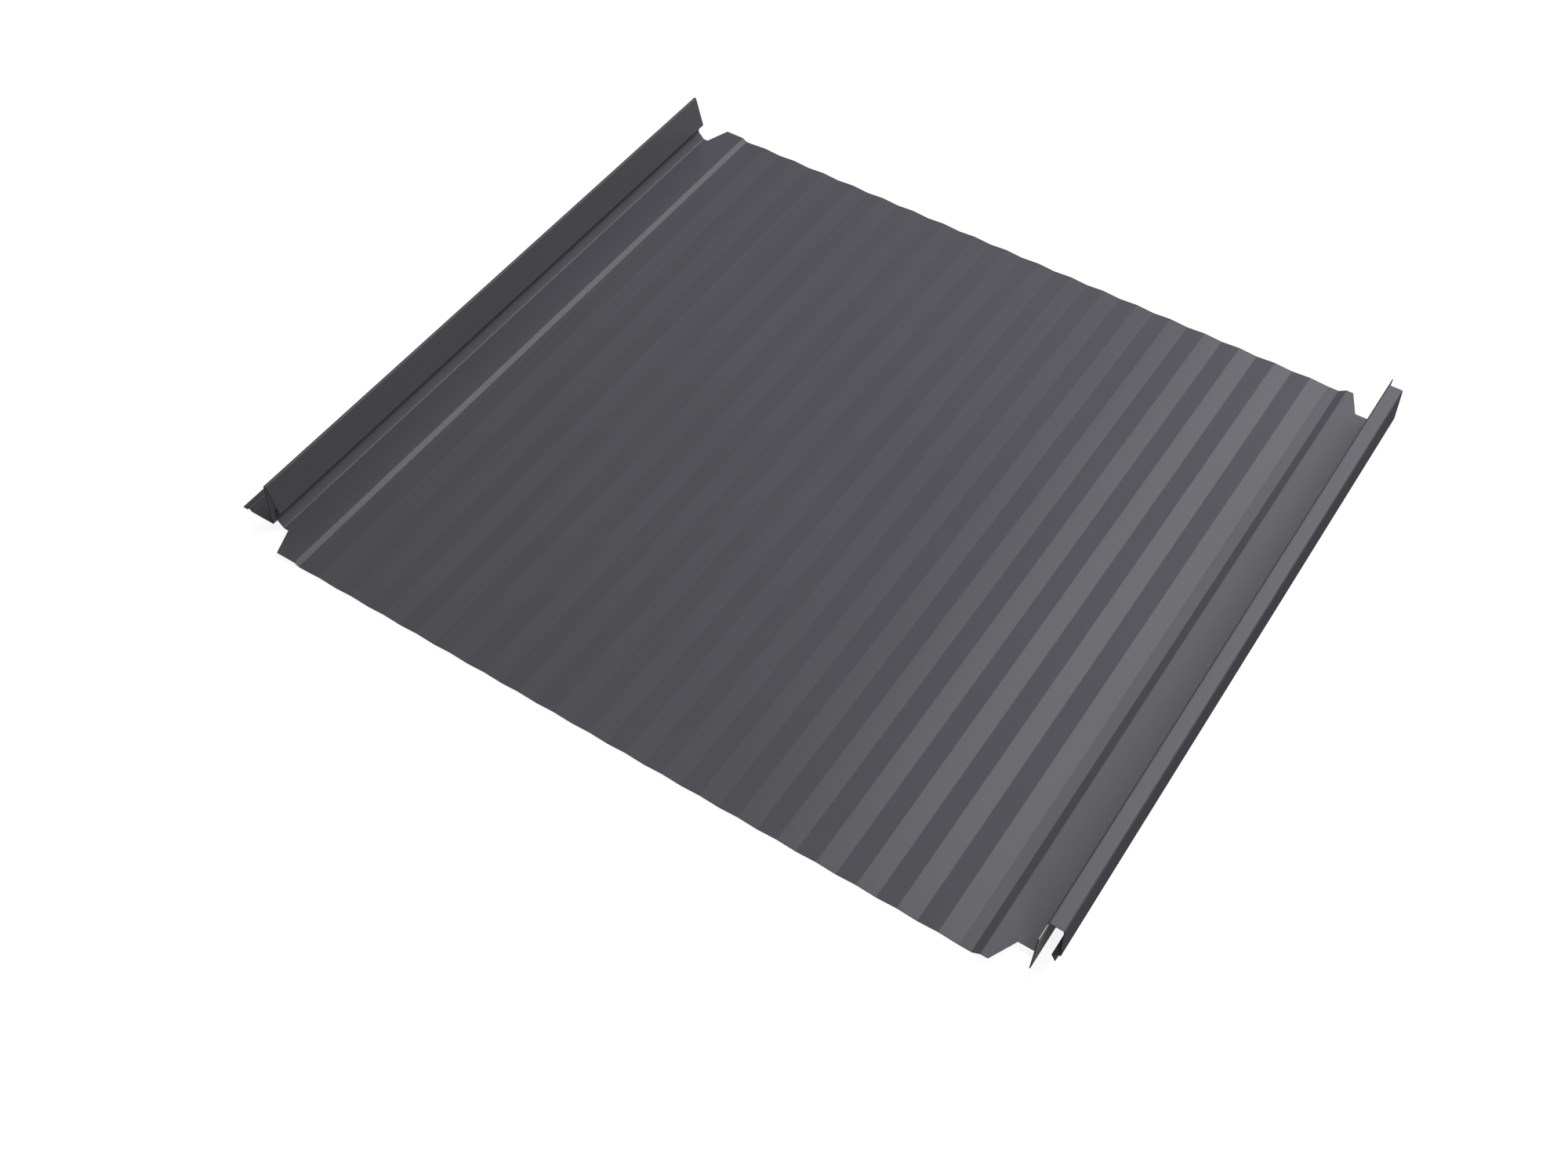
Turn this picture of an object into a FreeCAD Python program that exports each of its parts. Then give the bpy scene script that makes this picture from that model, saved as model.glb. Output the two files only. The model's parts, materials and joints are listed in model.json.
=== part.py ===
import FreeCAD, Part
import math
import os
import Sketcher

# Standing seam roof panel: one strip of steel sheet, roll formed, lying on the deck at z = 0.
# x runs across the panel, y along the seams. The origin is the middle of the overall width and of the length.
# The painted face of the sheet is drawn as an open line for each seam; the gauge is added under it.

doc = FreeCAD.newDocument("standing_seam_panel")
dims = doc.addObject("Spreadsheet::Sheet", "Dims")

SIZES = [
    ("gauge", "0.6", "sheet thickness"),
    ("cover", "475", "seam to seam width that one panel covers"),
    ("panel_length", "430", "pan, end to end"),
    ("end_tab", "15", "pan beyond the seams at either end"),
    ("bend_inside", "0.5", "inside radius of an ordinary bend"),
    ("fold_inside", "0.3", "inside radius of a tight fold"),
    ("flange_width", "22", "nailing flange, outer edge to the male seam"),
    ("bead_inset", "4.5", "flange edge to the middle of its bead"),
    ("bead_width", "4", "stiffening bead of the flange, at its foot"),
    ("bead_flat", "1.2", "flat top of that bead"),
    ("bead_height", "1.5", "rise of that bead"),
    ("slot_width", "5", "nailing slot"),
    ("slot_length", "20", "nailing slot, end to end"),
    ("slot_pitch", "50", "slot to slot"),
    ("slot_margin", "10", "seam end to the nearest slot, at least"),
    ("slot_inset", "13.5", "flange edge to the row of slots"),
    ("male_height", "33", "crest of the male seam above the deck"),
    ("male_lean", "2.3", "top of the male leg from its foot"),
    ("crest_width", "1.7", "folded crest"),
    ("barb_reach", "9.1", "lower edge of the barb from the male foot"),
    ("barb_height", "13.3", "lower edge of the barb above the deck"),
    ("lip_reach", "5", "inner end of the lip from the male foot"),
    ("lip_height", "11.6", "inner end of the lip above the deck"),
    ("knee_reach", "5.2", "knee of the riser from the male foot"),
    ("knee_height", "6.6", "knee of the riser above the deck"),
    ("riser_reach", "8.9", "foot of the riser from the male foot"),
    ("left_lift", "1.83", "rise of the side strip by the male seam"),
    ("left_strip_reach", "29.9", "end of that strip from the male foot"),
    ("left_step", "2.8", "run of its step"),
    ("left_flat", "3.7", "flat between that step and the pleats"),
    ("pleat_pitch", "22.5", "pleat to pleat"),
    ("pleat_height", "0.87", "rise of a pleat"),
    ("pleat_count", "18", "pleats across the pan"),
    ("right_flat", "6.5", "flat between the pleats and the right step"),
    ("right_step", "4.3", "run of the right step"),
    ("right_lift", "2.8", "rise of the side strip by the female seam"),
    ("female_height", "33.9", "top of the female seam above the deck"),
    ("female_lean", "1.1", "top of the inner leg from its foot"),
    ("female_top", "9.1", "outer corner of the top from the inner leg"),
    ("female_width", "10", "outer face of the outer leg from the inner leg, at its foot"),
    ("female_foot", "11.4", "foot of the outer leg above the deck"),
    ("hook_reach", "6", "inner fold of the hook from the inner leg"),
    ("hook_height", "8.6", "inner fold of the hook above the deck"),
    ("lead_reach", "8", "free edge of the lead-in from the inner leg"),
    ("lead_height", "4.6", "free edge of the lead-in above the deck"),
    ("left_notch", "11.8", "male foot to the inner corner of the notch"),
    ("left_taper", "5.6", "sideways run of the left tab's slanted edge"),
    ("right_notch", "11.3", "inner leg to the inner corner of the notch"),
    ("right_taper", "7.4", "sideways run of the right tab's slanted edge"),
    ("leg_clearance", "0.15", "edge of the notch to the face of the inner leg"),
    ("near_leg_tab", "9", "inner leg beyond the female seam's near end"),
    ("far_leg_tab", "6.5", "inner leg beyond the female seam's far end"),
    ("overcut", "5", "how far a cutter stands clear of the sheet"),
]

# Places worked out from the sizes, as cells of the same sheet.
PLACES = [
    ("male_foot", "(flange_width - cover - female_width) / 2"),
    ("female_foot_in", "male_foot + cover"),
    ("flange_edge", "male_foot - flange_width"),
    ("bead_start", "flange_edge + bead_inset - bead_width / 2"),
    ("bead_flat_start", "flange_edge + bead_inset - bead_flat / 2"),
    ("bead_flat_end", "flange_edge + bead_inset + bead_flat / 2"),
    ("bead_end", "flange_edge + bead_inset + bead_width / 2"),
    ("bead_top", "gauge + bead_height"),
    ("crest_start", "male_foot + male_lean"),
    ("crest_end", "crest_start + crest_width"),
    ("barb_edge", "male_foot + barb_reach"),
    ("lip_end", "male_foot + lip_reach"),
    ("knee", "male_foot + knee_reach"),
    ("riser_foot", "male_foot + riser_reach"),
    ("left_top", "gauge + left_lift"),
    ("left_strip_end", "male_foot + left_strip_reach"),
    ("left_step_foot", "left_strip_end + left_step"),
    ("pleats_start", "left_step_foot + left_flat"),
    ("pleat_middle", "pleats_start + pleat_pitch / 2"),
    ("pleat_end", "pleats_start + pleat_pitch"),
    ("pleat_under", "pleat_height"),
    ("pleat_top", "gauge + pleat_height"),
    ("pleats_end", "pleats_start + pleat_pitch * pleat_count"),
    ("pleats_span", "pleat_pitch * (pleat_count - 1)"),
    ("right_step_foot", "pleats_end + right_flat"),
    ("right_strip_start", "right_step_foot + right_step"),
    ("right_top", "gauge + right_lift"),
    ("inner_leg", "female_foot_in - gauge"),
    ("inner_leg_top", "inner_leg + female_lean"),
    ("outer_top", "female_foot_in + female_top"),
    ("outer_foot", "female_foot_in + female_width"),
    ("hook_end", "female_foot_in + hook_reach"),
    ("lead_end", "female_foot_in + lead_reach"),
    ("bend_outside", "bend_inside + gauge"),
    ("fold_outside", "fold_inside + gauge"),
    ("pan_end", "panel_length / 2"),
    ("seam_end", "pan_end - end_tab"),
    ("beyond_end", "pan_end + overcut"),
    ("far_leg_end", "seam_end + far_leg_tab"),
    ("near_seam_end", "-seam_end"),
    ("near_pan_end", "-pan_end"),
    ("near_beyond_end", "-beyond_end"),
    ("near_leg_end", "-seam_end - near_leg_tab"),
    ("left_clear", "flange_edge - overcut"),
    ("left_notch_in", "male_foot + left_notch"),
    ("left_notch_out", "left_notch_in + left_taper"),
    ("right_notch_in", "female_foot_in - right_notch"),
    ("right_notch_out", "right_notch_in - right_taper"),
    ("leg_bend", "inner_leg - bend_outside"),
    ("leg_notch", "inner_leg - leg_clearance"),
    ("right_clear", "outer_foot + overcut"),
    ("mouth", "female_foot_in + (female_lean + hook_reach) / 2"),
    ("below", "-overcut"),
    ("above", "female_height + overcut"),
    ("leg_cut", "female_height - bend_outside"),
    ("end_cut", "end_tab + overcut"),
    ("slot_row", "flange_edge + slot_inset"),
    ("slot_count", "floor((2 * seam_end - 2 * slot_margin - slot_length) / slot_pitch) + 1"),
    ("slots_span", "slot_pitch * (slot_count - 1)"),
    ("slot_straight", "(slot_length - slot_width) / 2"),
    ("first_slot_low", "-slots_span / 2 - slot_straight"),
    ("first_slot_high", "-slots_span / 2 + slot_straight"),
    ("slot_radius", "slot_width / 2"),
]

row = 1
for alias, text, note in SIZES:
    dims.set("A%d" % row, alias)
    dims.set("B%d" % row, text)
    dims.set("C%d" % row, note)
    dims.setAlias("B%d" % row, alias)
    row += 1
for alias, formula in PLACES:
    dims.set("A%d" % row, alias)
    dims.set("B%d" % row, "=" + formula)
    dims.setAlias("B%d" % row, alias)
    row += 1
doc.recompute()


def size(name):
    return float(dims.get(name))


body = doc.addObject("PartDesign::Body", "Panel")
body.Label = "panel"


def origin(role):
    return [o for o in body.Origin.OriginFeatures if o.Role == role][0]


def new_sketch(name, plane):
    sketch = body.newObject("Sketcher::SketchObject", name)
    sketch.AttachmentSupport = [(origin(plane), "")]
    sketch.MapMode = "FlatFace"
    return sketch


def pin(sketch, geo, pos, across, up):
    """Holds one point of a sketch at two places named in the sheet."""
    for kind, name in (("DistanceX", across), ("DistanceY", up)):
        value = 0.0 if name == "zero" else size(name)
        if value == 0.0:
            line = -2 if kind == "DistanceX" else -1
            sketch.addConstraint(Sketcher.Constraint("PointOnObject", geo, pos, line))
        elif value > 0.0:
            held = sketch.addConstraint(Sketcher.Constraint(kind, -1, 1, geo, pos, value))
            sketch.setExpression("Constraints[%d]" % held, "Dims." + name)
        else:
            held = sketch.addConstraint(Sketcher.Constraint(kind, geo, pos, -1, 1, -value))
            sketch.setExpression("Constraints[%d]" % held, "-Dims." + name)


def place(across, up):
    x = 0.0 if across == "zero" else size(across)
    y = 0.0 if up == "zero" else size(up)
    return FreeCAD.Vector(x, y, 0)


def open_line(sketch, corners):
    """An open line through named corners; each inner corner is rounded to its own radius."""
    first = sketch.GeometryCount
    for a, b in zip(corners, corners[1:]):
        sketch.addGeometry(Part.LineSegment(place(a[0], a[1]), place(b[0], b[1])), False)
    last = sketch.GeometryCount - 1
    for geo in range(first, last):
        sketch.addConstraint(Sketcher.Constraint("Coincident", geo, 2, geo + 1, 1))
    pin(sketch, first, 1, corners[0][0], corners[0][1])
    for geo in range(first, last + 1):
        corner = corners[geo - first + 1]
        pin(sketch, geo, 2, corner[0], corner[1])
    doc.recompute()
    for geo in range(first, last):
        radius = corners[geo - first + 1][2]
        if radius is None:
            continue
        sketch.fillet(geo, 2, size(radius), True, True)
        arc = sketch.GeometryCount - 2
        if sketch.Geometry[arc].TypeId != "Part::GeomArcOfCircle":
            arc = sketch.GeometryCount - 1
        held = sketch.addConstraint(Sketcher.Constraint("Radius", arc, size(radius)))
        sketch.setExpression("Constraints[%d]" % held, "Dims." + radius)
    doc.recompute()


def closed_line(sketch, corners):
    first = sketch.GeometryCount
    for a, b in zip(corners, corners[1:] + corners[:1]):
        sketch.addGeometry(Part.LineSegment(place(*a), place(*b)), False)
    last = sketch.GeometryCount - 1
    for geo in range(first, last):
        sketch.addConstraint(Sketcher.Constraint("Coincident", geo, 2, geo + 1, 1))
    sketch.addConstraint(Sketcher.Constraint("Coincident", last, 2, first, 1))
    for geo, corner in zip(range(first, last + 1), corners):
        pin(sketch, geo, 1, corner[0], corner[1])
    doc.recompute()


def sheet_pad(name, sketch):
    """The sheet itself: the painted line thickened by the gauge, run the length of the pan."""
    ribbon = body.newObject("PartDesign::SubShapeBinder", name + "Sheet")
    ribbon.Support = [(sketch, "")]
    ribbon.OffsetJoinType = "Arcs"
    ribbon.OffsetOpenResult = True
    ribbon.OffsetFill = True
    ribbon.setExpression("Offset", "-Dims.gauge")
    doc.recompute()
    return length_pad(name, (ribbon, ["Face1"]))


def length_pad(name, profile):
    pad = body.newObject("PartDesign::Pad", name)
    pad.Profile = profile
    pad.Midplane = True
    pad.setExpression("Length", "Dims.panel_length")
    doc.recompute()
    return pad


def pattern(name, made, axis, span, count):
    many = body.newObject("PartDesign::LinearPattern", name)
    many.Originals = [made]
    many.Direction = (origin(axis), [""])
    many.setExpression("Length", "Dims." + span)
    many.setExpression("Occurrences", "Dims." + count)
    body.Tip = many
    doc.recompute()
    return many


# Male side: flange, bead, leg, folded barb, lip, riser, side strip and step, up to the first pleat.
male_line = new_sketch("MaleLine", "XZ_Plane")
open_line(
    male_line,
    [
        ("flange_edge", "gauge", None),
        ("bead_start", "gauge", "bend_inside"),
        ("bead_flat_start", "bead_top", "bend_outside"),
        ("bead_flat_end", "bead_top", "bend_outside"),
        ("bead_end", "gauge", "bend_inside"),
        ("male_foot", "gauge", "bend_inside"),
        ("crest_start", "male_height", "fold_outside"),
        ("crest_end", "male_height", "fold_outside"),
        ("barb_edge", "barb_height", "fold_outside"),
        ("lip_end", "lip_height", "fold_inside"),
        ("knee", "knee_height", "bend_inside"),
        ("riser_foot", "left_top", "bend_inside"),
        ("left_strip_end", "left_top", "bend_outside"),
        ("left_step_foot", "gauge", "bend_inside"),
        ("pleats_start", "gauge", None),
    ],
)
sheet_pad("MaleSide", male_line)

# One pleat, repeated across the pan. The creases are sharp.
pleat_line = new_sketch("PleatLine", "XZ_Plane")
closed_line(
    pleat_line,
    [
        ("pleats_start", "zero"),
        ("pleat_middle", "pleat_under"),
        ("pleat_end", "zero"),
        ("pleat_end", "gauge"),
        ("pleat_middle", "pleat_top"),
        ("pleats_start", "gauge"),
    ],
)
pleat = length_pad("Pleat", pleat_line)
pattern("Pleats", pleat, "X_Axis", "pleats_span", "pleat_count")

# Female side: flat, step, side strip, inner leg, top, outer leg, hook and lead-in.
female_line = new_sketch("FemaleLine", "XZ_Plane")
open_line(
    female_line,
    [
        ("pleats_end", "gauge", None),
        ("right_step_foot", "gauge", "bend_inside"),
        ("right_strip_start", "right_top", "bend_outside"),
        ("inner_leg", "right_top", "bend_inside"),
        ("inner_leg_top", "female_height", "bend_outside"),
        ("outer_top", "female_height", "bend_outside"),
        ("outer_foot", "female_foot", "fold_outside"),
        ("hook_end", "hook_height", "fold_inside"),
        ("lead_end", "lead_height", None),
    ],
)
sheet_pad("FemaleSide", female_line)

# The top, outer leg and hook of the female seam end short of its inner leg.
seam_end_line = new_sketch("SeamEndLine", "XZ_Plane")
seam_end_line.setExpression("AttachmentOffset.Base.z", "Dims.seam_end")
closed_line(
    seam_end_line,
    [
        ("mouth", "below"),
        ("mouth", "leg_cut"),
        ("leg_bend", "leg_cut"),
        ("leg_bend", "above"),
        ("right_clear", "above"),
        ("right_clear", "below"),
    ],
)
before = body.Shape.Volume
seam_end_cut = body.newObject("PartDesign::Pocket", "SeamEnd")
seam_end_cut.Profile = seam_end_line
seam_end_cut.Reversed = True
seam_end_cut.setExpression("Length", "Dims.end_cut")
doc.recompute()
assert body.Shape.Volume < before, "the near seam end wasn't cut"
before = body.Shape.Volume
both_ends = body.newObject("PartDesign::Mirrored", "SeamEnds")
both_ends.Originals = [seam_end_cut]
both_ends.MirrorPlane = (origin("XZ_Plane"), [""])
body.Tip = both_ends
doc.recompute()
assert body.Shape.Volume < before, "the far seam end wasn't cut"

# Corner notches, seen from above: the pan keeps a tapered tab at each end, the inner leg a short one.
ENDS = [
    ("near_seam_end", "near_pan_end", "near_beyond_end", "near_leg_end"),
    ("seam_end", "pan_end", "beyond_end", "far_leg_end"),
]
notch_line = new_sketch("NotchLine", "XY_Plane")
for seam, pan, beyond, leg in ENDS:
    closed_line(
        notch_line,
        [
            ("left_clear", seam),
            ("left_notch_in", seam),
            ("left_notch_out", pan),
            ("left_notch_out", beyond),
            ("left_clear", beyond),
        ],
    )
    closed_line(
        notch_line,
        [
            ("right_notch_out", pan),
            ("right_notch_in", seam),
            ("leg_notch", seam),
            ("leg_notch", leg),
            ("right_clear", leg),
            ("right_clear", beyond),
            ("right_notch_out", beyond),
        ],
    )
before = body.Shape.Volume
notches = body.newObject("PartDesign::Pocket", "Notches")
notches.Profile = notch_line
notches.Type = "ThroughAll"
notches.Midplane = True
doc.recompute()
assert body.Shape.Volume < before, "the notches weren't cut"

# Nailing slots in the flange: one slot, two straight sides and two half rounds, repeated along the flange.
slot_line = new_sketch("SlotLine", "XY_Plane")
middle = size("slot_row")
radius = size("slot_radius")
low = size("first_slot_low")
high = size("first_slot_high")
up = FreeCAD.Vector(0, 0, 1)


def slot_side(side, start, end):
    along = middle + side * radius
    return Part.LineSegment(FreeCAD.Vector(along, start, 0), FreeCAD.Vector(along, end, 0))


def half_round(at, start):
    circle = Part.Circle(FreeCAD.Vector(middle, at, 0), up, radius)
    return Part.ArcOfCircle(circle, start, start + math.pi)


slot_line.addGeometry(slot_side(1, low, high), False)
slot_line.addGeometry(half_round(high, 0), False)
slot_line.addGeometry(slot_side(-1, high, low), False)
slot_line.addGeometry(half_round(low, math.pi), False)
for geo, following in ((0, 1), (1, 2), (2, 3), (3, 0)):
    slot_line.addConstraint(Sketcher.Constraint("Tangent", geo, 2, following, 1))
pin(slot_line, 1, 3, "slot_row", "first_slot_high")
pin(slot_line, 3, 3, "slot_row", "first_slot_low")
held = slot_line.addConstraint(Sketcher.Constraint("Radius", 1, radius))
slot_line.setExpression("Constraints[%d]" % held, "Dims.slot_radius")
doc.recompute()
before = body.Shape.Volume
slot = body.newObject("PartDesign::Pocket", "Slot")
slot.Profile = slot_line
slot.Type = "ThroughAll"
slot.Midplane = True
doc.recompute()
one_slot = before - body.Shape.Volume
pattern("Slots", slot, "Y_Axis", "slots_span", "slot_count")
assert one_slot > 0.0, "the first slot wasn't cut"
assert abs(before - body.Shape.Volume - one_slot * size("slot_count")) < one_slot / 2, "slots are missing"

doc.recompute()
for obj in doc.Objects:
    assert "Invalid" not in obj.State and "Error" not in obj.State, obj.Name
assert not body.Shape.isNull() and body.Shape.isValid()
assert len(body.Shape.Solids) == 1, "the panel must be one solid"
os.makedirs("parts", exist_ok=True)
body.Shape.exportStep("parts/panel.step")
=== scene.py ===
import json
import math

import bmesh
import bpy
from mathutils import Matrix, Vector


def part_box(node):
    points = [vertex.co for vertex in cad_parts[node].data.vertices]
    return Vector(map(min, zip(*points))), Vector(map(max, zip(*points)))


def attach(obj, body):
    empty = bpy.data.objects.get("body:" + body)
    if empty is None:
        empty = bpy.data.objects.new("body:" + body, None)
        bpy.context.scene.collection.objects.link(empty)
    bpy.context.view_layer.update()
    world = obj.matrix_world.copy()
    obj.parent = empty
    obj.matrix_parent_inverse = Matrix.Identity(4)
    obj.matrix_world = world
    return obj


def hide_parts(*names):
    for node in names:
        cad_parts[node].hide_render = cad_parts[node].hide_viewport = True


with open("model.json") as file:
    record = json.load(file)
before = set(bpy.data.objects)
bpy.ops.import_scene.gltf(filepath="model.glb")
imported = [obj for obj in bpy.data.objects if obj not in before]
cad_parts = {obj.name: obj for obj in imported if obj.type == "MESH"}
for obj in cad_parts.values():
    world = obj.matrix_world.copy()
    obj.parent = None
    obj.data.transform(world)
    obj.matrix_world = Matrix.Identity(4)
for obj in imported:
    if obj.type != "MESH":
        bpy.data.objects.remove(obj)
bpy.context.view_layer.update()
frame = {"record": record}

# Standing seam roof panel: one strip of painted steel, roll formed, lying on a pale floor.
# x runs across the panel, y along the seams, z up. Lengths are in metres.

mounts = {mount["name"]: mount for mount in frame["record"]["mounts"]}
MM = 0.001

# Sheet and bends
GAUGE = 0.6 * MM
BEND_INSIDE = 0.5 * MM
BEND_OUTSIDE = BEND_INSIDE + GAUGE
FOLD_INSIDE = 0.3 * MM
FOLD_OUTSIDE = FOLD_INSIDE + GAUGE
CREASE = 1.5 * MM
DEGREES_A_FACET = 9.0
FEWEST_FACETS = 2
SHARP_DEGREES = 30.0

# Overall
FLANGE_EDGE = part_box("panel")[0][0]
PAN_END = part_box("panel")[1][1]
SEAM_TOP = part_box("panel")[1][2]
SEAM_END = PAN_END - 15 * MM
FLANGE_WIDTH = 22 * MM
MALE_FOOT = FLANGE_EDGE + FLANGE_WIDTH
COVER = 475 * MM
INNER_LEG_BACK = MALE_FOOT + COVER

# Flange
BEAD_MIDDLE = FLANGE_EDGE + 4.5 * MM
BEAD_HALF = 2 * MM
BEAD_FLAT_HALF = 0.6 * MM
BEAD_TOP = GAUGE + 1.5 * MM
SLOT_FACETS = 30

# Male seam
CREST_START = MALE_FOOT + 2.3 * MM
CREST_END = CREST_START + 1.7 * MM
CREST_TOP = 33 * MM
BARB_EDGE = (MALE_FOOT + 9.1 * MM, 13.3 * MM)
LIP_END = (MALE_FOOT + 5 * MM, 11.6 * MM)
KNEE = (MALE_FOOT + 5.2 * MM, 6.6 * MM)
RISER_FOOT = MALE_FOOT + 8.9 * MM
RISER_BEND = 1.5 * MM

# Pan
LEFT_TOP = GAUGE + 1.83 * MM
LEFT_STRIP_END = MALE_FOOT + 29.9 * MM
LEFT_STEP_FOOT = LEFT_STRIP_END + 2.8 * MM
PLEATS_START = LEFT_STEP_FOOT + 3.7 * MM
PLEAT_PITCH = 22.5 * MM
PLEAT_TOP = GAUGE + 0.87 * MM
PLEATS = 18
PLEATS_END = PLEATS_START + PLEATS * PLEAT_PITCH
RIGHT_STEP_FOOT = PLEATS_END + 6.5 * MM
RIGHT_STRIP_START = RIGHT_STEP_FOOT + 4.3 * MM
RIGHT_TOP = GAUGE + 2.8 * MM

# Female seam
INNER_LEG = INNER_LEG_BACK - GAUGE
INNER_LEG_TOP = INNER_LEG + 1.1 * MM
OUTER_TOP = INNER_LEG_BACK + 9.1 * MM
OUTER_FOOT = (INNER_LEG_BACK + 10 * MM, 11.4 * MM)
HOOK_END = (INNER_LEG_BACK + 6 * MM, 8.6 * MM)
LEAD_END = (INNER_LEG_BACK + 8 * MM, 4.6 * MM)

# Notched ends
LEFT_NOTCH_IN = MALE_FOOT + 11.8 * MM
LEFT_NOTCH_OUT = LEFT_NOTCH_IN + 5.6 * MM
RIGHT_NOTCH_IN = INNER_LEG_BACK - 11.3 * MM
RIGHT_NOTCH_OUT = RIGHT_NOTCH_IN - 7.4 * MM
LEG_NOTCH = INNER_LEG - 0.15 * MM
NEAR_LEG_TAB = 9 * MM
FAR_LEG_TAB = 6.5 * MM
LEG_CUT = SEAM_TOP - BEND_OUTSIDE
LEG_LEAN = (INNER_LEG_TOP - INNER_LEG) / (SEAM_TOP - RIGHT_TOP)
LEG_TAB_TOP = INNER_LEG + LEG_LEAN * (LEG_CUT - RIGHT_TOP)
# Across the near tab's top cut, the bright part starts here: partly burnish, partly a painted highlight
SHEARED_HIGHLIGHT_FROM = LEG_TAB_TOP + 0.5 * GAUGE

# Two points nearer than this are at the same place
CLOSE = 0.02 * MM

# A face looks up when its normal has more than this share of z; a cut that looks up on the near end gets
# a painted highlight
LOOKS_UP = 0.5

# How far large faces lead the shading of the corners they share: 50 is neutral, 100 the most
LARGE_FACES_LEAD = 100

# Material places on the panel, with painted shade on the cut edges and a painted highlight on the near
# tab's top cut
PAINTED, BACK, SHADED_CUT_EDGE, SHEARED_TOP_HIGHLIGHT = range(4)

# Roll forming leaves faint marks along the seams, so their pattern is drawn out along y
ALONG = (1.0, 0.012, 1.0)

# Where a pattern counts as fully dark and fully light, for tones and for other values
TONE_ENDS = (0.35, 0.65)
VALUE_ENDS = (0.3, 0.7)

# A coating's body scatters light broadly, and its gloss is clear unless it has a cast of its own
BODY_ROUGHNESS = 0.6
CLEAR = (1.0, 1.0, 1.0)

# Floor, sky and lamps
FLOOR_HALF = 6.0
FLOOR_GAP = 0.05 * MM
FLOOR_TONE = 0.25
FLOOR_ROUGHNESS = 0.9
FLOOR_GLOW = 0.87
GLOW_SPREADS = (1.2, 3.0)
SKY_LEVEL = 0.21
OVERHEAD_PLACE = (0.54, 1.41, 1.38)
OVERHEAD_SIZE = (1.23, 2.06)
OVERHEAD_WATTS = 63.0
FILL_PLACE = (0.87, -1.15, 0.72)
FILL_SIZE = (0.4, 0.4)
FILL_WATTS = 12.6

# Camera, with its lens and sensor in millimetres
CAMERA_PLACE = Vector((0.36045, -0.5915, 0.7702))
CAMERA_AIM = Vector((0.02683, -0.08373, 0.0))
LENS = 42.279
SENSOR = 36.0


def panel_section():
    """Corners of the painted face, from flange to lead-in, each with its bend radius or none."""
    corners = [
        (FLANGE_EDGE, GAUGE, None),
        (BEAD_MIDDLE - BEAD_HALF, GAUGE, BEND_INSIDE),
        (BEAD_MIDDLE - BEAD_FLAT_HALF, BEAD_TOP, BEND_OUTSIDE),
        (BEAD_MIDDLE + BEAD_FLAT_HALF, BEAD_TOP, BEND_OUTSIDE),
        (BEAD_MIDDLE + BEAD_HALF, GAUGE, BEND_INSIDE),
        (MALE_FOOT, GAUGE, BEND_INSIDE),
        (CREST_START, CREST_TOP, FOLD_OUTSIDE),
        (CREST_END, CREST_TOP, FOLD_OUTSIDE),
        (*BARB_EDGE, FOLD_OUTSIDE),
        (*LIP_END, FOLD_INSIDE),
        (*KNEE, BEND_INSIDE),
        (RISER_FOOT, LEFT_TOP, RISER_BEND),
        (LEFT_NOTCH_IN, LEFT_TOP, None),
        (LEFT_NOTCH_OUT, LEFT_TOP, None),
        (LEFT_STRIP_END, LEFT_TOP, BEND_OUTSIDE),
        (LEFT_STEP_FOOT, GAUGE, BEND_INSIDE),
    ]
    for pleat in range(PLEATS):
        valley = PLEATS_START + pleat * PLEAT_PITCH
        corners.append((valley, GAUGE, CREASE))
        corners.append((valley + PLEAT_PITCH / 2, PLEAT_TOP, CREASE))
    corners += [
        (PLEATS_END, GAUGE, CREASE),
        (RIGHT_STEP_FOOT, GAUGE, BEND_INSIDE),
        (RIGHT_STRIP_START, RIGHT_TOP, BEND_OUTSIDE),
        (RIGHT_NOTCH_OUT, RIGHT_TOP, None),
        (RIGHT_NOTCH_IN, RIGHT_TOP, None),
        (INNER_LEG, RIGHT_TOP, BEND_INSIDE),
        (LEG_TAB_TOP, LEG_CUT, None),
        (INNER_LEG_TOP, SEAM_TOP, BEND_OUTSIDE),
        (OUTER_TOP, SEAM_TOP, BEND_OUTSIDE),
        (*OUTER_FOOT, FOLD_OUTSIDE),
        (*HOOK_END, FOLD_INSIDE),
        (*LEAD_END, None),
    ]
    return [(Vector((x, -SEAM_END, z)), radius) for x, z, radius in corners]


def run_to(bm, last, point):
    """Lays the strip's line straight on to a point."""
    made = bmesh.ops.extrude_vert_indiv(bm, verts=[last])["verts"][0]
    made.co = point
    return made


def bend(bm, last, centre, turn):
    """Rolls the strip's line round a bend, facet by facet."""
    steps = max(FEWEST_FACETS, math.ceil(abs(math.degrees(turn)) / DEGREES_A_FACET))
    rolled = bmesh.ops.spin(
        bm, geom=[last], cent=centre, axis=(0, 1, 0), angle=turn, steps=steps, use_duplicate=False
    )
    return [item for item in rolled["geom_last"] if isinstance(item, bmesh.types.BMVert)][0]


def roll_section(bm, corners):
    """The whole section as one line: straight runs, with a true arc at each bend."""
    last = bm.verts.new(corners[0][0])
    for (before, _), (corner, radius), (after, _) in zip(corners, corners[1:], corners[2:]):
        if radius is None:
            last = run_to(bm, last, corner)
            continue
        arriving = (corner - before).normalized()
        leaving = (after - corner).normalized()
        turn = math.atan2(arriving.cross(leaving).y, arriving.dot(leaving))
        tangent = radius * math.tan(abs(turn) / 2)
        last = run_to(bm, last, corner - arriving * tangent)
        inward = Vector((arriving.z, 0, -arriving.x)) * math.copysign(1, turn)
        last = bend(bm, last, last.co + inward * radius, turn)
    run_to(bm, last, corners[-1][0])


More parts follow.
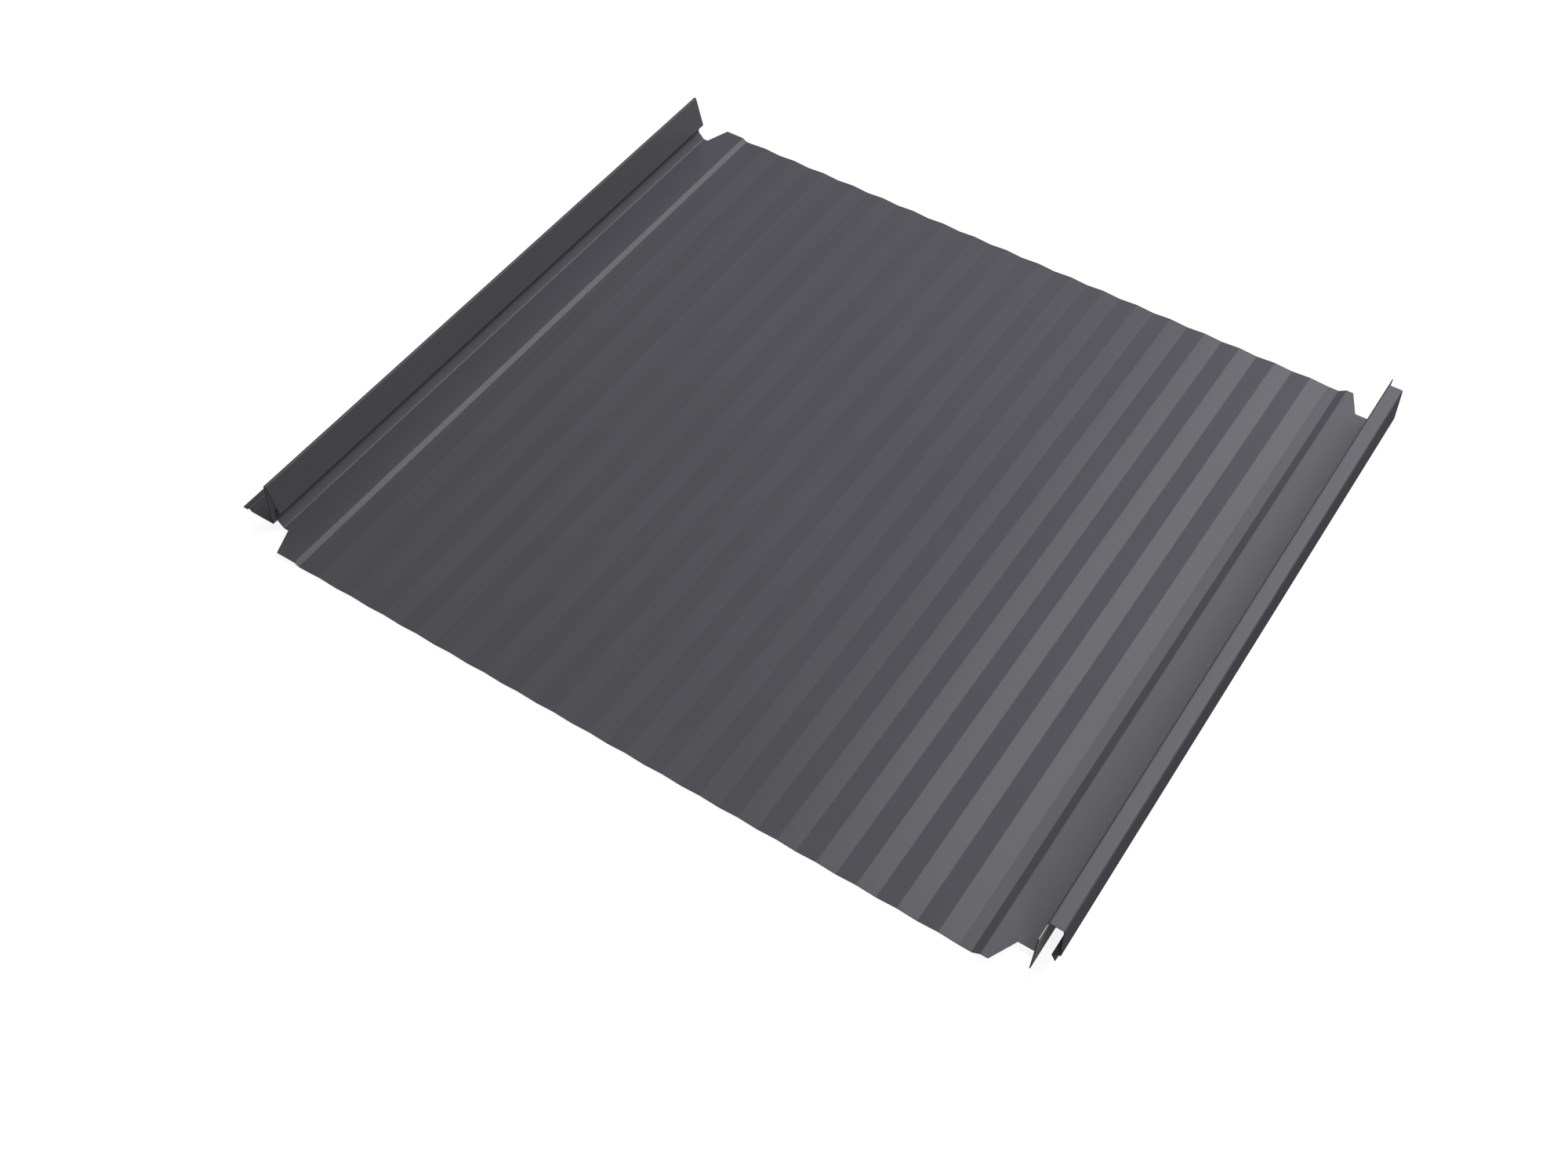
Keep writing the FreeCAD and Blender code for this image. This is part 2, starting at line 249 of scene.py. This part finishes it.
def end_edges(bm, place_y, wanted):
    """Open edges across one end of the strip whose two points are both wanted."""
    return [
        edge
        for edge in bm.edges
        if all(abs(vert.co.y - place_y) < CLOSE and wanted(vert.co) for vert in edge.verts)
    ]


def lengthen(bm, edges, along):
    """Carries the sheet on from open edges, along the seams."""
    made = bmesh.ops.extrude_edge_only(bm, edges=edges)["geom"]
    verts = [item for item in made if isinstance(item, bmesh.types.BMVert)]
    bmesh.ops.translate(bm, verts=verts, vec=(0, along, 0))


def on_pan(place):
    """Whether a point is on the pan, between its two inner notch corners."""
    return LEFT_NOTCH_IN - CLOSE < place.x < RIGHT_NOTCH_IN + CLOSE


def on_inner_leg(place):
    """Whether a point is on the stretch of the inner leg that has a tab at each end."""
    return LEG_NOTCH - CLOSE < place.x < LEG_TAB_TOP + CLOSE and place.z < LEG_CUT + CLOSE


def pan_tab(bm, end):
    """The tongue of the pan past the seams, with a slanted edge at either corner."""
    seam_line = end * SEAM_END
    lengthen(bm, end_edges(bm, seam_line, on_pan), end * (PAN_END - SEAM_END))
    for corner_x in (LEFT_NOTCH_IN, RIGHT_NOTCH_IN):
        loose, kept = [
            [vert for vert in bm.verts if (vert.co - Vector((corner_x, y, vert.co.z))).length < CLOSE][0]
            for y in (end * PAN_END, seam_line)
        ]
        bmesh.ops.pointmerge(bm, verts=[kept, loose], merge_co=kept.co)


def slot_outline(bm, place, radius, half_straight):
    """One nailing slot: two half rounds joined by straight sides."""
    ring = bmesh.ops.create_circle(bm, cap_ends=False, radius=radius, segments=SLOT_FACETS)["verts"]
    for vert in ring:
        reach = half_straight if vert.co.y > 0 else -half_straight
        if abs(vert.co.y) > CLOSE:
            vert.co.y += reach
    bmesh.ops.translate(bm, verts=ring, vec=place)
    return ring


def nailing_slots(bm):
    """Cuts the row of slots through the flange, at the places the mounts give."""
    slot = mounts["nail_slots_1"]
    radius = slot["dims"]["hole_r_mm"] * MM
    half_straight = slot["dims"]["slot_length_mm"] * MM / 2 - radius
    row_x = slot["pos_m"][0]
    flat = [
        face
        for face in bm.faces
        if min(v.co.x for v in face.verts) < row_x < max(v.co.x for v in face.verts)
        and max(v.co.z for v in face.verts) < BEAD_TOP
    ][0]
    outline = list(flat.edges)
    bmesh.ops.delete(bm, geom=[flat], context="FACES_ONLY")
    for name in sorted(mounts):
        if not name.startswith("nail_slots"):
            continue
        half_spacing = mounts[name]["dims"]["spacing_y_mm"] * MM / 2
        for side in (-1, 1):
            ring = slot_outline(bm, (row_x, side * half_spacing, GAUGE), radius, half_straight)
            outline += dict.fromkeys(edge for vert in ring for edge in vert.link_edges)
    bmesh.ops.triangle_fill(bm, use_beauty=True, edges=outline, normal=(0, 0, 1))


def thicken(bm):
    """Gives the painted line its gauge underneath, and marks the back and the cut edges: painted shade
    on the cuts, and a painted highlight on the near cut that looks up.
    """
    painted = set(bm.verts)
    bmesh.ops.recalc_face_normals(bm, faces=bm.faces)
    if sum(face.normal.z * face.calc_area() for face in bm.faces) < 0:
        bmesh.ops.reverse_faces(bm, faces=bm.faces)
    bmesh.ops.solidify(bm, geom=bm.faces[:], thickness=GAUGE)
    bm.normal_update()
    for face in bm.faces:
        painted_corners = sum(vert in painted for vert in face.verts)
        if painted_corners == len(face.verts):
            face.material_index = PAINTED
        elif painted_corners == 0:
            face.material_index = BACK
        # Cut faces on the near end that look up get a painted highlight; every other cut face gets
        # painted shade
        elif face.normal.z > LOOKS_UP and face.calc_center_median().y < 0:
            face.material_index = SHEARED_TOP_HIGHLIGHT
        else:
            face.material_index = SHADED_CUT_EDGE


def build_panel():
    """Rolls, lengthens and punches the strip, adds its end tabs and gives it its thickness."""
    bm = bmesh.new()
    roll_section(bm, panel_section())
    lengthen(bm, bm.edges[:], 2 * SEAM_END)
    nailing_slots(bm)
    for end in (-1, 1):
        pan_tab(bm, end)
    lengthen(bm, end_edges(bm, -SEAM_END, on_inner_leg), -NEAR_LEG_TAB)
    lengthen(bm, end_edges(bm, SEAM_END, on_inner_leg), FAR_LEG_TAB)
    thicken(bm)
    for face in bm.faces:
        face.smooth = True
    for edge in bm.edges:
        edge.smooth = edge.calc_face_angle(math.pi) < math.radians(SHARP_DEGREES)
    mesh = bpy.data.meshes.new("roof_panel")
    bm.to_mesh(mesh)
    bm.free()
    panel = bpy.data.objects.new("roof_panel", mesh)
    bpy.context.collection.objects.link(panel)
    even = panel.modifiers.new("even_shading", "WEIGHTED_NORMAL")
    even.mode = "FACE_AREA"
    even.weight = LARGE_FACES_LEAD
    even.keep_sharp = True
    return panel


def new_material(name):
    """A material with its node tree and its main shader."""
    material = bpy.data.materials.new(name)
    material.use_nodes = True
    tree = material.node_tree
    return material, tree, tree.nodes["Principled BSDF"]


def pattern(tree, per_metre, detail=2.0, stretch=(1.0, 1.0, 1.0)):
    """Noise fixed to the panel, with so many features a metre, drawn out where stretch is small."""
    place = tree.nodes.new("ShaderNodeTexCoord")
    mapping = tree.nodes.new("ShaderNodeMapping")
    mapping.inputs["Scale"].default_value = stretch
    noise = tree.nodes.new("ShaderNodeTexNoise")
    noise.inputs["Scale"].default_value = per_metre
    noise.inputs["Detail"].default_value = detail
    tree.links.new(place.outputs["Object"], mapping.inputs["Vector"])
    tree.links.new(mapping.outputs["Vector"], noise.inputs["Vector"])
    return noise.outputs["Fac"]


def right_of(tree, place_x):
    """One beyond a place across the panel, nothing before it."""
    place = tree.nodes.new("ShaderNodeTexCoord")
    apart = tree.nodes.new("ShaderNodeSeparateXYZ")
    tree.links.new(place.outputs["Object"], apart.inputs["Vector"])
    past = tree.nodes.new("ShaderNodeMath")
    past.operation = "GREATER_THAN"
    past.inputs[1].default_value = place_x
    tree.links.new(apart.outputs["X"], past.inputs[0])
    return past.outputs["Value"]


def weigh(tree, first, first_share, second, second_share):
    """Adds two patterns, each with its share."""
    parts = []
    for value, share in ((first, first_share), (second, second_share)):
        part = tree.nodes.new("ShaderNodeMath")
        part.operation = "MULTIPLY"
        part.inputs[1].default_value = share
        tree.links.new(value, part.inputs[0])
        parts.append(part.outputs["Value"])
    total = tree.nodes.new("ShaderNodeMath")
    total.operation = "ADD"
    tree.links.new(parts[0], total.inputs[0])
    tree.links.new(parts[1], total.inputs[1])
    return total.outputs["Value"]


def tint(tree, value, dark, light):
    """Turns a pattern into a colour between two tones."""
    ramp = tree.nodes.new("ShaderNodeValToRGB")
    for element, position, tone in zip(ramp.color_ramp.elements, TONE_ENDS, (dark, light)):
        element.position = position
        element.color = (*tone, 1)
    tree.links.new(value, ramp.inputs["Fac"])
    return ramp.outputs["Color"]


def spread(tree, value, low, high):
    """Turns a pattern into a number between two limits."""
    remap = tree.nodes.new("ShaderNodeMapRange")
    remap.inputs["From Min"].default_value = VALUE_ENDS[0]
    remap.inputs["From Max"].default_value = VALUE_ENDS[1]
    remap.inputs["To Min"].default_value = low
    remap.inputs["To Max"].default_value = high
    tree.links.new(value, remap.inputs["Value"])
    return remap.outputs["Result"]


def relief(tree, value, height):
    """Turns a pattern into fine bumps of a given height in metres."""
    bump = tree.nodes.new("ShaderNodeBump")
    bump.inputs["Strength"].default_value = 1.0
    bump.inputs["Distance"].default_value = height
    tree.links.new(value, bump.inputs["Height"])
    return bump.outputs["Normal"]


def coat(name, colour, roughness, bumps, gloss_share, gloss_colour=CLEAR):
    """A coating: an even body colour under a thin share of gloss, the same at every angle."""
    material, tree, body = new_material(name)
    tree.links.new(colour(tree), body.inputs["Base Color"])
    body.inputs["Roughness"].default_value = BODY_ROUGHNESS
    body.inputs["Specular IOR Level"].default_value = 0.0
    gloss = tree.nodes.new("ShaderNodeBsdfGlossy")
    gloss.inputs["Color"].default_value = (*gloss_colour, 1)
    tree.links.new(roughness(tree), gloss.inputs["Roughness"])
    normal = bumps(tree)
    tree.links.new(normal, body.inputs["Normal"])
    tree.links.new(normal, gloss.inputs["Normal"])
    mix = tree.nodes.new("ShaderNodeMixShader")
    mix.inputs["Fac"].default_value = gloss_share
    tree.links.new(body.outputs["BSDF"], mix.inputs[1])
    tree.links.new(gloss.outputs["BSDF"], mix.inputs[2])
    tree.links.new(mix.outputs["Shader"], tree.nodes["Material Output"].inputs["Surface"])
    return material


def graphite_paint():
    """Graphite paint with a violet cast: cloudy tone, faint roll marks and a fine orange peel."""

    def colour(tree):
        clouds = pattern(tree, per_metre=9.0, detail=3.0)
        marks = pattern(tree, per_metre=420.0, stretch=ALONG)
        both = weigh(tree, clouds, 0.6, marks, 0.4)
        return tint(tree, both, dark=(0.0675, 0.0658, 0.0757), light=(0.0718, 0.0701, 0.0806))

    def roughness(tree):
        marks = pattern(tree, per_metre=420.0, stretch=ALONG)
        grain = pattern(tree, per_metre=1800.0, detail=1.0)
        return spread(tree, weigh(tree, marks, 0.5, grain, 0.5), low=0.20, high=0.24)

    def bumps(tree):
        peel = pattern(tree, per_metre=380.0)
        marks = pattern(tree, per_metre=300.0, detail=1.0, stretch=ALONG)
        return relief(tree, weigh(tree, peel, 0.6, marks, 0.4), height=0.012 * MM)

    return coat(
        "graphite_paint", colour, roughness, bumps, gloss_share=0.009, gloss_colour=(0.98, 1.0, 1.03)
    )


def backing_coat():
    """Thin grey primer on the back, a little mottled."""

    def colour(tree):
        clouds = pattern(tree, per_metre=24.0, detail=3.0)
        grain = pattern(tree, per_metre=900.0)
        both = weigh(tree, clouds, 0.6, grain, 0.4)
        return tint(tree, both, dark=(0.180, 0.180, 0.180), light=(0.205, 0.205, 0.205))

    def roughness(tree):
        return spread(tree, pattern(tree, per_metre=900.0), low=0.42, high=0.52)

    def bumps(tree):
        return relief(tree, pattern(tree, per_metre=600.0), height=0.01 * MM)

    return coat("backing_coat", colour, roughness, bumps, gloss_share=0.008)


def shaded_cut_edge():
    """The broken part of a cut through the steel: dull, uneven, and painted near black to dark grey as
    shade.
    """

    def colour(tree):
        breaks = pattern(tree, per_metre=900.0, detail=1.0)
        # Near black to dark grey is painted shade over the dull broken steel
        return tint(tree, breaks, dark=(0.008, 0.008, 0.009), light=(0.090, 0.090, 0.092))

    def roughness(tree):
        return spread(tree, pattern(tree, per_metre=1500.0), low=0.45, high=0.60)

    def bumps(tree):
        return relief(tree, pattern(tree, per_metre=1500.0), height=0.02 * MM)

    return coat("shaded_cut_edge", colour, roughness, bumps, gloss_share=0.004)


def sheared_top_highlight():
    """The cut along the top of the near leg's tab: bright where the punch sheared it and with a painted
    highlight of light from above, dark where it broke.
    """

    def colour(tree):
        grain = pattern(tree, per_metre=900.0)
        sheared = right_of(tree, SHEARED_HIGHLIGHT_FROM)
        both = weigh(tree, grain, 0.6, sheared, 0.4)
        # The light tone is partly burnish and partly a painted highlight of light from above
        return tint(tree, both, dark=(0.05, 0.05, 0.05), light=(0.50, 0.50, 0.51))

    def roughness(tree):
        return spread(tree, pattern(tree, per_metre=900.0), low=0.30, high=0.40)

    def bumps(tree):
        return relief(tree, pattern(tree, per_metre=900.0), height=0.01 * MM)

    return coat("sheared_top_highlight", colour, roughness, bumps, gloss_share=0.01)


def seen_directly(tree):
    """One for rays from the camera, a gloss or glass, so that they meet the white background."""
    path = tree.nodes.new("ShaderNodeLightPath")
    first = tree.nodes.new("ShaderNodeMath")
    first.operation = "MAXIMUM"
    tree.links.new(path.outputs["Is Camera Ray"], first.inputs[0])
    tree.links.new(path.outputs["Is Glossy Ray"], first.inputs[1])
    both = tree.nodes.new("ShaderNodeMath")
    both.operation = "MAXIMUM"
    tree.links.new(first.outputs["Value"], both.inputs[0])
    tree.links.new(path.outputs["Is Transmission Ray"], both.inputs[1])
    return both.outputs["Value"]


def glow_outwards(tree):
    """The floor's glow: level under the panel, rising to full white well away from it."""
    place = tree.nodes.new("ShaderNodeTexCoord")
    away = tree.nodes.new("ShaderNodeVectorMath")
    away.operation = "LENGTH"
    tree.links.new(place.outputs["Object"], away.inputs[0])
    remap = tree.nodes.new("ShaderNodeMapRange")
    remap.inputs["From Min"].default_value = GLOW_SPREADS[0]
    remap.inputs["From Max"].default_value = GLOW_SPREADS[1]
    remap.inputs["To Min"].default_value = FLOOR_GLOW
    remap.inputs["To Max"].default_value = 1.0
    tree.links.new(away.outputs["Value"], remap.inputs["Value"])
    return remap.outputs["Result"]


def pale_floor():
    """A wide floor that reads white from the camera and still takes the panel's shadow."""
    bm = bmesh.new()
    bmesh.ops.create_grid(bm, x_segments=1, y_segments=1, size=FLOOR_HALF)
    mesh = bpy.data.meshes.new("floor")
    bm.to_mesh(mesh)
    bm.free()
    floor = bpy.data.objects.new("floor", mesh)
    floor.location.z = -FLOOR_GAP
    bpy.context.collection.objects.link(floor)
    material, tree, shader = new_material("floor")
    shader.inputs["Base Color"].default_value = (FLOOR_TONE, FLOOR_TONE, FLOOR_TONE, 1)
    shader.inputs["Roughness"].default_value = FLOOR_ROUGHNESS
    shader.inputs["Specular IOR Level"].default_value = 0.0
    glow = tree.nodes.new("ShaderNodeMath")
    glow.operation = "MULTIPLY"
    tree.links.new(seen_directly(tree), glow.inputs[0])
    tree.links.new(glow_outwards(tree), glow.inputs[1])
    shader.inputs["Emission Color"].default_value = (1, 1, 1, 1)
    tree.links.new(glow.outputs["Value"], shader.inputs["Emission Strength"])
    mesh.materials.append(material)


def level_sky():
    """A dim, even sky that lights the shadows, and is white where it is seen."""
    world = bpy.data.worlds.new("sky")
    bpy.context.scene.world = world
    world.use_nodes = True
    tree = world.node_tree
    tree.nodes.clear()
    light = tree.nodes.new("ShaderNodeBackground")
    light.inputs["Color"].default_value = (1, 1, 1, 1)
    light.inputs["Strength"].default_value = SKY_LEVEL
    white = tree.nodes.new("ShaderNodeBackground")
    white.inputs["Color"].default_value = (1, 1, 1, 1)
    mix = tree.nodes.new("ShaderNodeMixShader")
    out = tree.nodes.new("ShaderNodeOutputWorld")
    tree.links.new(seen_directly(tree), mix.inputs["Fac"])
    tree.links.new(light.outputs["Background"], mix.inputs[1])
    tree.links.new(white.outputs["Background"], mix.inputs[2])
    tree.links.new(mix.outputs["Shader"], out.inputs["Surface"])


def soft_box(name, place, size, watts):
    """A soft lamp, level with the floor, that shines straight down."""
    data = bpy.data.lights.new(name, "AREA")
    data.shape = "RECTANGLE"
    data.size, data.size_y = size
    data.energy = watts
    lamp = bpy.data.objects.new(name, data)
    lamp.location = place
    bpy.context.collection.objects.link(lamp)


def photo_camera():
    """Looks down on the panel from its near right, as the photograph does."""
    data = bpy.data.cameras.new("camera")
    data.sensor_width = SENSOR
    data.lens = LENS
    camera = bpy.data.objects.new("camera", data)
    camera.location = CAMERA_PLACE
    camera.rotation_euler = (CAMERA_AIM - CAMERA_PLACE).to_track_quat("-Z", "Y").to_euler()
    bpy.context.collection.objects.link(camera)
    bpy.context.scene.camera = camera


photo_camera()
panel = build_panel()
for material in (graphite_paint(), backing_coat(), shaded_cut_edge(), sheared_top_highlight()):
    panel.data.materials.append(material)
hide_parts("panel")
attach(panel, "root")
pale_floor()
level_sky()
soft_box("overhead", OVERHEAD_PLACE, OVERHEAD_SIZE, OVERHEAD_WATTS)
soft_box("fill", FILL_PLACE, FILL_SIZE, FILL_WATTS)

bpy.context.scene.view_settings.view_transform = "Standard"
